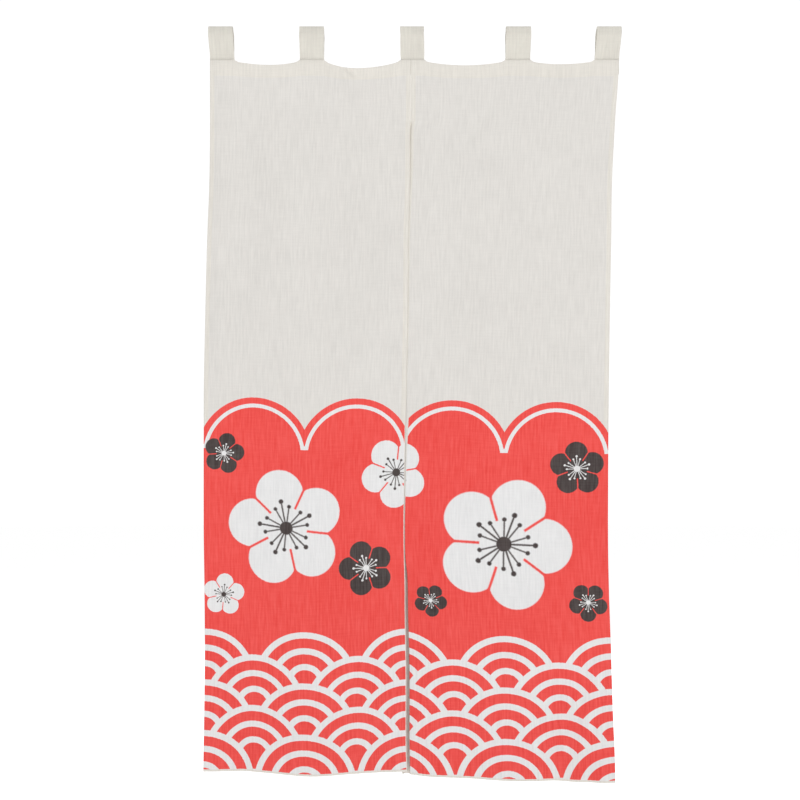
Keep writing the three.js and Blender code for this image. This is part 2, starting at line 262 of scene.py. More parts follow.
# Colours as 8-bit screen values
CLOTH_WHITE = (225, 222, 217)
HEM_CREAM = (229, 225, 217)
LOOP_CREAM = (215, 211, 202)
LOOP_PALE = (223, 220, 210)
THREAD_CREAM = (228, 224, 214)
THREAD_SHADE = (210, 206, 194)
PRINT_RED = (245, 79, 73)
PRINT_RED_DEEP = (240, 73, 68)
PRINT_WHITE = (234, 234, 234)
PRINT_DARK = (66, 56, 55)
FLOOR_PALE = (246, 246, 246)

# Weave
THREAD_PITCH = 0.0009  # from one pair of threads to the next
THREAD_STRAY = 0.0011  # how far threads wander from their straight lines
SLUB_TONE = 0.14  # how much lighter and darker thick and thin threads are
SLUB_DYE = 0.07  # how much more and less dye they take
WARP_SLUB, WEFT_SLUB = (0.0036, 0.048), (0.042, 0.0030)  # their thick and thin stretches, across and along
STRAY_PATCHES = ((0.004, 0.026), (0.026, 0.004))  # the stretches over which warp and weft wander
CLOTH_PATCH = (0.090, 0.150)  # larger paler and darker patches
WARP_SHARE, WEFT_SHARE, PATCH_SHARE = 0.63, 0.22, 0.15  # of the cloth's tone
SLUB_HEIGHT, THREAD_HEIGHT = 1.6, 0.12  # of the bump
SOFT_NOISE, FINE_NOISE = 1.0, 2.0  # how broken up a noise is

# Finish
ROUGHNESS, ROUGHNESS_CHANGE = 0.9, 0.08
SHEEN, GLOSS = 0.08, 0.2
WEAVE_BUMP, WEAVE_DEPTH = 0.35, 0.0003
LOOP_PATCH = (0.03, 0.05)  # paler and darker patches on the loops
TWIST_SCALE = 1800.0  # of the thread's twist
TWIST_BUMP, TWIST_DEPTH = 0.3, 0.0001
TWIST_ROUGHNESS, TWIST_CHANGE = 0.6, 0.2

PLAN = "cloth_plan"
HEM_SHARE = "hem_share"


def smoothstep(value, low, high):
    t = np.clip((value - low) / (high - low), 0, 1)
    return t * t * (3 - 2 * t)


def bump(q):
    """1 in the middle, 0 from one half width outwards."""
    return np.where(np.abs(q) < 1, 0.5 + 0.5 * np.cos(np.pi * q), 0)


def read_table(table, key, column, at):
    """A column's values along its key column, on a smooth curve through its rows with no overshoot."""
    keys = np.array(table[key], float)
    values = np.array(table[column], float)
    rise = np.diff(values)
    slopes = np.zeros(len(keys))
    steady = rise[:-1] * rise[1:] > 0
    slopes[1:-1] = np.where(steady, (values[2:] - values[:-2]) / (keys[2:] - keys[:-2]), 0)
    i = np.clip(np.searchsorted(keys, at, side="right") - 1, 0, len(keys) - 2)
    span = keys[i + 1] - keys[i]
    t = np.clip((at - keys[i]) / span, 0, 1)
    between = values[i] + rise[i] * t * t * (3 - 2 * t)
    return between + span * t * (1 - t) * ((1 - t) * slopes[i] - t * slopes[i + 1])


def fold_depth(folds, x, drop):
    """How far a table of folds moves the cloth back."""
    total = np.zeros_like(x)
    for start_x, start_drop, end_x, end_drop, depth, half in folds:
        along = np.clip((drop - start_drop) / (end_drop - start_drop), 0, 1)
        ends = smoothstep(along, 0, FOLD_TAPER) * smoothstep(1 - along, 0, FOLD_TAPER)
        total += depth * ends * bump((x - start_x - (end_x - start_x) * along) / half)
    return total


def top_edge(x):
    """How far the top edge sags between the loops, tips forward there, and is drawn up at the loops."""
    sag = np.zeros_like(x)
    tip = np.zeros_like(x)
    drawn = np.zeros_like(x)
    half = np.array(LOOPS["width"]) / 2
    starts = np.array(LOOPS["base"]) + half
    ends = np.array(LOOPS["base"]) - half
    for start, end, bay_sag, bay_tip, low in zip(starts, ends[1:], *BAYS.values()):
        from_low = np.clip((x - start) / (end - start), 0, 1) - low
        give = 1 - (from_low / np.where(from_low < 0, low, 1 - low)) ** 2
        sag += bay_sag * give
        tip += bay_tip * give
    for start, end in zip(starts, ends):
        beside = np.clip(np.maximum(x - start, end - x) / DRAW_WIDTH, 0, 1)
        drawn = np.maximum(drawn, (1 - beside) ** 2)
    return sag, tip, drawn


def sewn_lines(across, down):
    """For each sewn line of a panel: the distance from it and the distance along it, in metres."""
    x = across * PANEL_WIDTH
    z = down * PANEL_LENGTH
    return (
        (np.abs(x - SIDE_HEM), z),
        (np.abs(PANEL_WIDTH - x - SIDE_HEM), z + RIGHT_SHIFT),
        (np.abs(z - TOP_HEM), x),
        (np.abs(PANEL_LENGTH - z - FOOT_HEM), x + FOOT_SHIFT),
    )


def puckers(across, down):
    """Small uneven gathers that the stitches leave on both sides of each sewn line."""
    total = np.zeros_like(across)
    mean, change, length, phase = PUCKER_SWELL
    for away, along in sewn_lines(across, down):
        drift = sum(turn * np.sin(along / span) for turn, span in PUCKER_DRIFT)
        wave = np.sin(along / PUCKER_PITCH + drift)
        swell = mean + change * np.sin(along / length + phase)
        total += PUCKER * wave * swell * bump(away / PUCKER_REACH)
    return total


def unevenness(x, drop):
    total = np.zeros_like(x)
    for across, down, phase, height in UNEVEN:
        total += height * np.sin(2 * np.pi * (x / across + drop / down) + phase)
    return total


def edge_share(across, down):
    """1 on a panel's folded edges, 0 where their rounding ends."""
    from_side = np.minimum(across, 1 - across) * PANEL_WIDTH
    from_end = np.minimum(down, 1 - down) * PANEL_LENGTH
    return np.clip(1 - np.minimum(from_side, from_end) / EDGE_REACH, 0, 1) ** 2


def panel_front(name, across, down):
    """Points on a panel's front: across and down run from 0 to 1 over its finished width and length."""
    is_left = name == "panel_left"
    side = "left" if is_left else "right"
    foot = read_table(FEET[name], "across", "drop", across)
    level = LOOP_DROP + (foot - LOOP_DROP) * down
    outer = read_table(OUTER_EDGES, "drop", side, level)
    inner = read_table(SLIT, "drop", side, level)
    first, last = (outer, inner) if is_left else (inner, outer)
    x = first + (last - first) * across

    sag, tip, drawn = top_edge(x)
    fade = np.exp((LOOP_DROP - level) / SAG_FADE)
    drop = level + sag * fade - DRAW_UP * drawn * np.exp((LOOP_DROP - level) / DRAW_FADE)

    folded = smoothstep(drop, FOLD_START, FOLD_FULL)
    back = folded * (fold_depth(FOLDS[name], x, drop) + unevenness(x, drop)) - tip * fade
    back += fold_depth(CREASES[name], x, drop) + puckers(across, down)
    back += EDGE_ROLL * edge_share(across, down)
    from_slit = np.abs(x - inner)
    bend = bump(from_slit / SLIT_REACH)
    if is_left:
        back -= read_table(SLIT, "drop", "lift", level) * bend
    else:
        back += read_table(SLIT, "drop", "set", level) * bend
        strip = read_table(SLIT, "drop", "strip", level)
        fall = smoothstep(from_slit, 0, TROUGH_FALL * strip)
        rise = smoothstep(from_slit, strip - TROUGH_RISE, strip)
        back += read_table(SLIT, "drop", "trough", level) * fall * (1 - rise)
    return np.stack((x, back - PANEL_FACE, -drop), axis=-1)


def hem_share(across, down):
    """1 on a panel's hems, 0 on the single cloth."""
    past_side = np.minimum(across, 1 - across) * PANEL_WIDTH - SIDE_HEM
    past_top = down * PANEL_LENGTH - TOP_HEM
    past_foot = (1 - down) * PANEL_LENGTH - FOOT_HEM
    past_hem = np.minimum(np.minimum(past_side, past_top), past_foot)
    return 1 - np.clip(past_hem / HEM_STEP, 0, 1)


def lattice(length, near_start, near_end, step):
    """Lines along a length, as shares of it: given lines near each end and even ones between."""
    first = near_start[-1]
    last = length - near_end[-1]
    middle = np.linspace(first, last, round((last - first) / step) + 1)
    return np.concatenate((near_start[:-1], middle, length - np.array(near_end[-2::-1]))) / length


def deselect_all():
    bpy.ops.object.select_all(action="DESELECT")


def add_grid(name, columns, rows):
    """A grid for a sheet, and the column from the left and the row from the top of each of its points."""
    deselect_all()
    bpy.ops.mesh.primitive_grid_add(x_subdivisions=columns - 1, y_subdivisions=rows - 1, size=1)
    sheet = bpy.context.object
    sheet.name = name
    sheet.data.name = name
    places = np.empty(len(sheet.data.vertices) * 3)
    sheet.data.vertices.foreach_get("co", places)
    x, y = places.reshape(-1, 3).T[:2]
    column = np.rint((x + 0.5) * (columns - 1)).astype(int)
    row = np.rint((0.5 - y) * (rows - 1)).astype(int)
    return sheet, column, row


def place_points(sheet, points):
    sheet.data.vertices.foreach_set("co", points.astype(np.float32).ravel())
    sheet.data.update()


def write_plan(sheet, u, v):
    """The sheet's flat plan as its UV map, in metres."""
    layer = sheet.data.uv_layers[0]
    layer.name = PLAN
    corners = np.empty(len(sheet.data.loops), int)
    sheet.data.loops.foreach_get("vertex_index", corners)
    layer.data.foreach_set("uv", np.column_stack((u[corners], v[corners])).astype(np.float32).ravel())


def apply_modifiers(piece):
    bpy.context.view_layer.objects.active = piece
    for modifier in list(piece.modifiers):
        bpy.ops.object.modifier_apply(modifier=modifier.name)


def shade_smooth(piece, degrees):
    deselect_all()
    piece.select_set(True)
    bpy.context.view_layer.objects.active = piece
    bpy.ops.object.shade_smooth_by_angle(angle=math.radians(degrees))


def make_panel(name, front, rear):
    """One panel: a thin sheet on its folds, thicker at its hems, with its reverse in its own material."""
    strip_steps = np.arange(STRIP_START, STRIP_WIDTH + 2 * STRIP_STEP, STRIP_STEP)
    strip_lines = (*EDGE_LINES, *strip_steps, SIDE_HEM + HEM_STEP)
    strip_lines = tuple(np.unique(np.round(strip_lines, LINE_DIGITS)))
    first_lines = SIDE_LINES if name == "panel_left" else strip_lines
    across_lines = lattice(PANEL_WIDTH, first_lines, SIDE_LINES, COLUMN_STEP)
    down_lines = lattice(PANEL_LENGTH, END_LINES, END_LINES, ROW_STEP)

    panel, column, row = add_grid(name + "_cloth", len(across_lines), len(down_lines))
    across = across_lines[column]
    down = down_lines[row]
    place_points(panel, panel_front(name, across, down))
    from_seam = across - 1 if name == "panel_left" else across
    write_plan(panel, from_seam * PANEL_WIDTH, (1 - down) * PANEL_LENGTH)

    share = hem_share(across, down)
    attribute = panel.data.attributes.new(HEM_SHARE, "FLOAT", "POINT")
    attribute.data.foreach_set("value", share.astype(np.float32))
    group = panel.vertex_groups.new(name="hems")
    weights = (share * (1 - EDGE_THIN * edge_share(across, down))).round(WEIGHT_DIGITS)
    for weight in np.unique(weights):
        group.add(np.flatnonzero(weights == weight).tolist(), float(weight), "REPLACE")

    panel.data.materials.append(front)
    panel.data.materials.append(rear)
    thickness = panel.modifiers.new("cloth", "SOLIDIFY")
    thickness.thickness = HEM_THICK
    thickness.offset = -1
    thickness.vertex_group = group.name
    thickness.thickness_vertex_group = CLOTH / HEM_THICK
    thickness.material_offset = 1
    apply_modifiers(panel)
    panel.vertex_groups.clear()
    shade_smooth(panel, CLOTH_ANGLE)
    return panel


def loop_path():
    """A loop's line across the rod, from its rear end over the crown to its front end: y and z."""
    radius = (ROD_ROOM + LOOP_CLOTH) / 2
    middle = ROD_ROOM / 2
    tail = (LOOP_CLOTH + LAYER_GAP) / 2
    below = LOOP_PINCH - middle
    slant = math.atan2(below, tail) - math.acos(radius / math.hypot(below, tail))
    turn = np.linspace(-slant, math.pi + slant, CROWN_POINTS)
    crown = np.column_stack((radius * np.cos(turn), radius * np.sin(turn) - middle))

    end = LOOP_DROP + LOOP_TAIL
    tail_line = np.linspace((tail, -end), (tail, -LOOP_PINCH), TAIL_POINTS)
    side_line = np.linspace(tail_line[-1], crown[0], SIDE_POINTS)[1:-1]
    rear = np.concatenate((tail_line, side_line))
    front = rear[::-1] * (-1, 1)
    return np.concatenate((rear, crown, front))


def make_loop(name, base, crown, width, cotton):
    """One loop: a folded strip over the crown whose two ends lie together behind the top hem."""
    path = loop_path()
    lines = np.linspace(-0.5, 0.5, LOOP_COLUMNS)
    loop, column, row = add_grid(name + "_cloth", len(lines), len(path))
    y, z = path[row].T
    lean = np.minimum(-z / LOOP_DROP, 1)
    middle = crown + (base - crown) * lean
    waver = sum(height * np.sin(z / length + base / height) for height, length in LOOP_WAVER)
    x = middle + lines[column] * (width + 2 * waver)
    is_front = y < 0
    y = y + is_front * fold_depth(LOOP_CREASES[name], x, -z)
    place_points(loop, np.column_stack((x, y, z)))

    steps = np.linalg.norm(np.diff(path, axis=0), axis=1)
    along = np.concatenate(((0,), np.cumsum(steps)))
    write_plan(loop, lines[column] * width + base, along[row])
    loop.data.materials.append(cotton)
    thickness = loop.modifiers.new("cloth", "SOLIDIFY")
    thickness.thickness = LOOP_CLOTH
    thickness.offset = 0
    apply_modifiers(loop)
    shade_smooth(loop, CLOTH_ANGLE)
    return loop, along[-1]


# Sewing
STITCH_LENGTH = 0.0026
STITCH_PITCH = 0.0034
THREAD = 0.0004
STITCH_SIDES, STITCH_RINGS = 6, 4
LOOP_ROW = 0.0045  # the row that holds the loops, below the top edge
EDGE_ROOM = 0.004  # a row of stitches stops this far from the panel's edge


def stitch_rows(name):
    """A panel's rows of stitches: where each starts and ends on its flat plan, from its top left corner."""
    left_row = SIDE_HEM - HEM_STEP
    right_row = PANEL_WIDTH - left_row
    top_row = TOP_HEM - HEM_STEP
    foot_row = PANEL_LENGTH - FOOT_HEM + HEM_STEP
    low = PANEL_LENGTH - EDGE_ROOM
    far = PANEL_WIDTH - EDGE_ROOM
    rows = [
        (left_row, EDGE_ROOM, left_row, low),
        (right_row, EDGE_ROOM, right_row, low),
        (EDGE_ROOM, top_row, far, top_row),
        (EDGE_ROOM, foot_row, far, foot_row),
    ]
    corner = OUTER_EDGES["left"][0] if name == "panel_left" else SEAM_RIGHT
    for base, width in zip(LOOPS["base"], LOOPS["width"]):
        start = max(base - width / 2 - corner, EDGE_ROOM)
        end = min(base + width / 2 - corner, far)
        if end - start > STITCH_LENGTH:
            rows.append((start, LOOP_ROW, end, LOOP_ROW))
    return rows


def one_stitch():
    """A short plump stitch of thread along X, as points and faces."""
    deselect_all()
    bpy.ops.mesh.primitive_uv_sphere_add(segments=STITCH_SIDES, ring_count=STITCH_RINGS, radius=0.5)
    stitch = bpy.context.object
    bpy.ops.transform.rotate(value=math.pi / 2, orient_axis="Y", center_override=(0, 0, 0))
    bpy.ops.object.transform_apply(location=False, rotation=True, scale=False)
    bpy.ops.object.mode_set(mode="EDIT")
    bpy.ops.mesh.select_all(action="SELECT")
    bpy.ops.transform.resize(value=(STITCH_LENGTH, THREAD, THREAD))
    bpy.ops.object.mode_set(mode="OBJECT")
    points = np.array([vertex.co for vertex in stitch.data.vertices])
    faces = [tuple(face.vertices) for face in stitch.data.polygons]
    bpy.data.objects.remove(stitch)
    return points, faces


def stitch_frames(name, row):
    """The place on the plan, the middle, the direction and the outward side of each stitch of a row."""
    start = np.array(row[:2])
    run = np.array(row[2:]) - start
    length = np.hypot(*run)
    count = int(length / STITCH_PITCH)
    places = start + run * ((np.arange(count) + 0.5) / count)[:, None]
    reach = run / length * STITCH_LENGTH / 2
    aside = np.array((-reach[1], reach[0]))

    def on_panel(spots):
        return panel_front(name, spots[:, 0] / PANEL_WIDTH, spots[:, 1] / PANEL_LENGTH)

    middle = on_panel(places)
    along = on_panel(places + reach) - on_panel(places - reach)
    across = on_panel(places + aside) - on_panel(places - aside)
    outward = np.cross(along, across)
    along /= np.linalg.norm(along, axis=1)[:, None]
    outward /= np.linalg.norm(outward, axis=1)[:, None]
    outward *= -np.sign(outward[:, 1])[:, None]
    return places, middle, along, outward


def make_stitches(name, thread):
    """All the stitches of a panel, on its front and on its reverse, as one mesh."""
    points, faces = one_stitch()
    groups = []
    plans = []
    for row in stitch_rows(name):
        places, middle, along, outward = stitch_frames(name, row)
        side = np.cross(outward, along)
        for face_shift in (0, -HEM_THICK):
            plans.append(places)
            centre = middle + outward * face_shift
            turned = (
                points[None, :, 0, None] * along[:, None]
                + points[None, :, 1, None] * side[:, None]
                + points[None, :, 2, None] * outward[:, None]
            )
            groups.append(centre[:, None] + turned)
    stitches = np.concatenate(groups)
    all_points = stitches.reshape(-1, 3)
    all_faces = [
        tuple(corner + i * len(points) for corner in face) for i in range(len(stitches)) for face in faces
    ]
    mesh = bpy.data.meshes.new(name + "_stitches")
    mesh.from_pydata(all_points.tolist(), [], all_faces)
    mesh.uv_layers.new(name=PLAN)
    piece = bpy.data.objects.new(name + "_stitches", mesh)
    bpy.context.collection.objects.link(piece)
    u, v = np.repeat(np.concatenate(plans), len(points), axis=0).T
    seam = PANEL_WIDTH if name == "panel_left" else 0
    write_plan(piece, u - seam, PANEL_LENGTH - v)
    piece.data.materials.append(thread)
    shade_smooth(piece, THREAD_ANGLE)
    return piece


class Graph:
    """The nodes of one material or node group, with short ways to add and join them."""

    def __init__(self, tree):
        self.tree = tree

    def add(self, kind, **settings):
        node = self.tree.nodes.new("ShaderNode" + kind)
        for name, value in settings.items():
            setattr(node, name, value)
        return node

    def feed(self, socket, value):
        if isinstance(value, bpy.types.NodeSocket):
            self.tree.links.new(value, socket)
        else:
            socket.default_value = value

    def maths(self, operation, *values):
        node = self.add("Math", operation=operation)
        for socket, value in zip(node.inputs, values):
            self.feed(socket, value)
        return node.outputs[0]

    def largest(self, *values):
        best = values[0]
        for value in values[1:]:
            best = self.maths("MAXIMUM", best, value)
        return best

    def distance(self, x, y):
        squares = self.maths("MULTIPLY_ADD", x, x, self.maths("MULTIPLY", y, y))
        return self.maths("SQRT", squares)

    def below(self, value, limit, soft):
        """1 where the value is under the limit, 0 where it is over, with a soft edge."""
        node = self.add("MapRange", interpolation_type="SMOOTHSTEP")
        for name, number in (("Value", value), ("From Min", limit - soft), ("From Max", limit + soft)):
            self.feed(node.inputs[name], number)
        self.feed(node.inputs["To Min"], 1.0)
        self.feed(node.inputs["To Max"], 0.0)
        return node.outputs["Result"]

    def mix(self, share, first, second):
        """One colour mixed into another, at the places of the Mix node's colour sockets."""
        node = self.add("Mix", data_type="RGBA")
        for place, value in ((0, share), (6, first), (7, second)):
            self.feed(node.inputs[place], value)
        return node.outputs[2]

    def scaled(self, vector, scale):
        node = self.add("Mapping", vector_type="POINT")
        self.feed(node.inputs["Vector"], vector)
        self.feed(node.inputs["Scale"], scale)
        return node.outputs["Vector"]

    def noise(self, vector, size, detail):
        """Noise from 0 to 1 whose patches are as large as size, across and along."""
        scale = (1 / size[0], 1 / size[1], 1)
        node = self.add("TexNoise", noise_dimensions="2D")
        self.feed(node.inputs["Vector"], self.scaled(vector, scale))
        self.feed(node.inputs["Scale"], 1.0)
        self.feed(node.inputs["Detail"], detail)
        return node.outputs["Fac"]

    def place(self, group, **inputs):
        """A node group with its inputs fed, named with underscores for spaces."""
        node = self.tree.nodes.new("ShaderNodeGroup")
        node.node_tree = group
        for name, value in inputs.items():
            self.feed(node.inputs[name.replace("_", " ")], value)
        return node.outputs


def new_group(name, inputs, outputs):
    """An empty node group: its graph, what it is given and what it puts out."""
    tree = bpy.data.node_groups.new(name, "ShaderNodeTree")
    for direction, sockets in (("INPUT", inputs), ("OUTPUT", outputs)):
        for socket_name, kind in sockets.items():
            tree.interface.new_socket(socket_name, in_out=direction, socket_type="NodeSocket" + kind)
    given = tree.nodes.new("NodeGroupInput").outputs
    result = tree.nodes.new("NodeGroupOutput").inputs
    return Graph(tree), given, result


def colour(screen):
    """A screen colour as a linear one."""
    shares = [value / 255 for value in screen]
    return (*(s / 12.92 if s < 0.04045 else ((s + 0.055) / 1.055) ** 2.4 for s in shares), 1.0)


def slub_weave_group():
    """Plain weave with thick and thin threads, on a flat plan in metres."""
    graph, given, result = new_group("slub_weave", {"Plan": "Vector"}, {"Tone": "Float", "Height": "Float"})
    plan = given["Plan"]
    warp = graph.noise(plan, WARP_SLUB, FINE_NOISE)
    weft = graph.noise(plan, WEFT_SLUB, FINE_NOISE)
    patches = graph.noise(plan, CLOTH_PATCH, SOFT_NOISE)
    threads = graph.maths("MULTIPLY_ADD", warp, WARP_SHARE, graph.maths("MULTIPLY", weft, WEFT_SHARE))
    tone = graph.maths("MULTIPLY_ADD", patches, PATCH_SHARE, threads)
    graph.feed(result["Tone"], graph.maths("MULTIPLY_ADD", tone, 2.0, -1.0))

    parts = graph.add("SeparateXYZ")
    graph.feed(parts.inputs[0], plan)
    ridges = []
    for place, patch in zip(parts.outputs, STRAY_PATCHES):
        strayed = graph.maths("MULTIPLY_ADD", graph.noise(plan, patch, SOFT_NOISE), THREAD_STRAY, place)
        turns = graph.maths("MULTIPLY", strayed, math.tau / THREAD_PITCH)
        ridges.append(graph.maths("SINE", turns))
    fine = graph.maths("MULTIPLY", graph.maths("MULTIPLY", *ridges), THREAD_HEIGHT)
    graph.feed(result["Height"], graph.maths("MULTIPLY_ADD", threads, SLUB_HEIGHT, fine))
    return graph.tree


def blossom_group():
    """A five-petalled plum blossom: its petals, and its stamens and middle."""
    inputs = {"Across": "Float", "Up": "Float", "Radius": "Float", "Turn": "Float"}
    graph, given, result = new_group("plum_blossom", inputs, {"Petals": "Float", "Stamens": "Float"})
    x = graph.maths("DIVIDE", given["Across"], given["Radius"])
    y = graph.maths("DIVIDE", given["Up"], given["Radius"])
    away = graph.distance(x, y)
    angle = graph.maths("ADD", graph.maths("ARCTAN2", x, y), given["Turn"])
    half_petal = math.pi / PETALS
    folded = graph.maths("PINGPONG", angle, half_petal)

    def within(value, limit):
        return graph.below(value, limit, BLOSSOM_SOFT)

    def spoke(turn):
        """Distances along and beside a line that leaves the middle at this angle from a petal's axis."""
        to_line = graph.maths("SUBTRACT", folded, turn)
        along = graph.maths("MULTIPLY", away, graph.maths("COSINE", to_line))
        beside = graph.maths("ABSOLUTE", graph.maths("MULTIPLY", away, graph.maths("SINE", to_line)))
        return along, beside

    def stamen(turn, length, width, tip):
        along, beside = spoke(turn)
        stem = graph.maths("MULTIPLY", within(beside, width), within(away, length))
        bead = graph.distance(graph.maths("SUBTRACT", along, length), beside)
        return graph.largest(stem, within(bead, tip))

    along, beside = spoke(0.0)
    from_petal = graph.distance(graph.maths("SUBTRACT", along, PETAL_PLACE), beside)
    petal = within(from_petal, PETAL_ROUND)
    heart = within(away, HEART)
    gap = within(spoke(half_petal)[1], PETAL_GAP)
    outside_heart = graph.maths("SUBTRACT", 1.0, within(away, GAP_START))
    parted = graph.maths("SUBTRACT", 1.0, graph.maths("MULTIPLY", gap, outside_heart))
    graph.feed(result["Petals"], graph.maths("MULTIPLY", graph.largest(petal, heart), parted))

    stamens = [stamen(*row) for row in STAMENS]
    graph.feed(result["Stamens"], graph.largest(within(away, BUTTON), *stamens))
    return graph.tree


def wave_row_group():
    """A row of round wave crests side by side: what they cover, and the rings on them."""
    inputs = {"Across": "Float", "Up": "Float"}
    graph, given, result = new_group("wave_row", inputs, {"Crests": "Float", "Rings": "Float"})
    soft = 0.5 * PRINT_SOFT / WAVE_RADIUS
    sideways = graph.maths("PINGPONG", given["Across"], WAVE_RADIUS)
    away = graph.maths("DIVIDE", graph.distance(sideways, given["Up"]), WAVE_RADIUS)
    graph.feed(result["Crests"], graph.below(away, 1.0, soft))
    inward = graph.maths("MAXIMUM", graph.maths("SUBTRACT", 1.0 - WAVE_LINE, away), 0.0)
    ringed = graph.maths("MINIMUM", inward, (WAVE_RINGS - 0.5) * WAVE_BAND)
    from_ring = graph.maths("PINGPONG", ringed, WAVE_BAND / 2)
    graph.feed(result["Rings"], graph.below(from_ring, WAVE_LINE, soft))
    return graph.tree


def print_group(blossom, wave_row):
    """The dyed design on a panel's flat plan: its colour, and where the dye lies."""
    graph, given, result = new_group("dyed_design", {"Plan": "Vector"}, {"Dye": "Color", "Cover": "Float"})
    plan = given["Plan"]
    parts = graph.add("SeparateXYZ")
    graph.feed(parts.inputs[0], plan)
    stray = graph.noise(plan, STRAY_PATCH, FINE_NOISE)
    strayed = graph.maths("MULTIPLY_ADD", stray, 2 * PRINT_STRAY, -PRINT_STRAY)
    across = graph.maths("ADD", parts.outputs[0], strayed)
    up = graph.maths("ADD", parts.outputs[1], strayed)
    soft = 0.5 * PRINT_SOFT

    scallop = graph.maths("PINGPONG", graph.maths("ADD", across, CREST_PITCH / 2), CREST_PITCH / 2)
    to_scallop = graph.distance(scallop, graph.maths("SUBTRACT", up, CREST_MIDDLE))
    past_crest = graph.maths(
        "MINIMUM",
        graph.maths("SUBTRACT", to_scallop, CREST_RADIUS),
        graph.maths("SUBTRACT", up, CREST_FLOOR),
    )
    field = graph.below(past_crest, 0.0, soft)
    above_foot = graph.maths("SUBTRACT", 1.0, graph.below(up, BARE_FOOT, soft))
    from_edges = graph.maths("SUBTRACT", across, (BARE_STRIP - BARE_EDGE) / 2)
    at_slit = graph.below(graph.maths("ABSOLUTE", from_edges), (BARE_STRIP + BARE_EDGE) / 2, soft)
    bare = graph.maths("SUBTRACT", 1.0, at_slit)
    graph.feed(result["Cover"], graph.maths("MULTIPLY", graph.maths("MULTIPLY", field, above_foot), bare))

    white = colour(PRINT_WHITE)
    dark = colour(PRINT_DARK)
    depth = graph.noise(plan, RED_PATCH, FINE_NOISE)
    red = graph.mix(depth, colour(PRINT_RED_DEEP), colour(PRINT_RED))
    near, far = (-limit for limit in CREST_LINE)
    line = graph.maths(
        "SUBTRACT", graph.below(past_crest, near, soft), graph.below(past_crest, far, soft))
    dye = graph.mix(line, red, white)

    top_row = WAVE_TOP - WAVE_RADIUS
    for i in range(WAVE_ROWS):
        row = graph.place(
            wave_row,
            Across=graph.maths("ADD", across, WAVE_RADIUS * (i % 2)),
            Up=graph.maths("SUBTRACT", up, top_row - i * WAVE_RADIUS / 2),
        )
        rings = graph.mix(row["Rings"], red, white)
        dye = graph.mix(row["Crests"], dye, rings)

    for blossoms, petal, stamen in ((PALE_BLOSSOMS, white, dark), (DARK_BLOSSOMS, dark, white)):
        for middle, height, radius, turn in blossoms:
            flower = graph.place(
                blossom,
                Across=graph.maths("SUBTRACT", across, middle),
                Up=graph.maths("SUBTRACT", up, height),
                Radius=radius,
                Turn=turn,
            )
            dye = graph.mix(flower["Petals"], dye, petal)
            dye = graph.mix(flower["Stamens"], dye, stamen)
    graph.feed(result["Dye"], dye)
    return graph.tree


def new_material(name):
    material = bpy.data.materials.new(name)
    material.use_nodes = True
    graph = Graph(material.node_tree)
    shader = material.node_tree.nodes["Principled BSDF"]
    return material, graph, shader


def plan_of(graph):
    return graph.add("UVMap", uv_map=PLAN).outputs["UV"]


def toned(graph, base, tone, strength):
    """A colour made a little lighter and darker by a tone from -1 to 1."""
    node = graph.add("VectorMath", operation="SCALE")
    graph.feed(node.inputs[0], base)
    graph.feed(node.inputs["Scale"], graph.maths("MULTIPLY_ADD", tone, strength, 1.0))
    return node.outputs[0]


def add_bump(graph, shader, height, strength, distance):
    node = graph.add("Bump")
    graph.feed(node.inputs["Height"], height)
    graph.feed(node.inputs["Strength"], strength)
    graph.feed(node.inputs["Distance"], distance)
    graph.feed(shader.inputs["Normal"], node.outputs["Normal"])


def finish_cotton(graph, shader, base, threads):
    """Soft dull cotton of a base colour, with its threads raised."""
    tone = threads["Tone"]
    graph.feed(shader.inputs["Base Color"], toned(graph, base, tone, SLUB_TONE))
    graph.feed(shader.inputs["Roughness"], graph.maths("MULTIPLY_ADD", tone, -ROUGHNESS_CHANGE, ROUGHNESS))
    shader.inputs["Sheen Weight"].default_value = SHEEN
    shader.inputs["Specular IOR Level"].default_value = GLOSS
    add_bump(graph, shader, threads["Height"], WEAVE_BUMP, WEAVE_DEPTH)


def panel_cotton(name, weave, design, dye_strength):
    """Off-white slub cotton with the dyed design, in the given strength of dye."""
    material, graph, shader = new_material(name)
    plan = plan_of(graph)
    threads = graph.place(weave, Plan=plan)
    dyed = graph.place(design, Plan=plan)
    hem = graph.add("Attribute", attribute_type="GEOMETRY", attribute_name=HEM_SHARE).outputs["Fac"]
    bare = graph.mix(hem, colour(CLOTH_WHITE), colour(HEM_CREAM))
    strength = graph.maths("MULTIPLY_ADD", threads["Tone"], -SLUB_DYE, dye_strength)
    base = graph.mix(graph.maths("MULTIPLY", dyed["Cover"], strength), bare, dyed["Dye"])
    finish_cotton(graph, shader, base, threads)
    return material


def loop_cotton(weave):
    """The same cotton, undyed, folded double."""
    material, graph, shader = new_material("loop_cotton")
    plan = plan_of(graph)
    threads = graph.place(weave, Plan=plan)
    base = graph.mix(graph.noise(plan, LOOP_PATCH, SOFT_NOISE), colour(LOOP_CREAM), colour(LOOP_PALE))
    finish_cotton(graph, shader, base, threads)
    return material


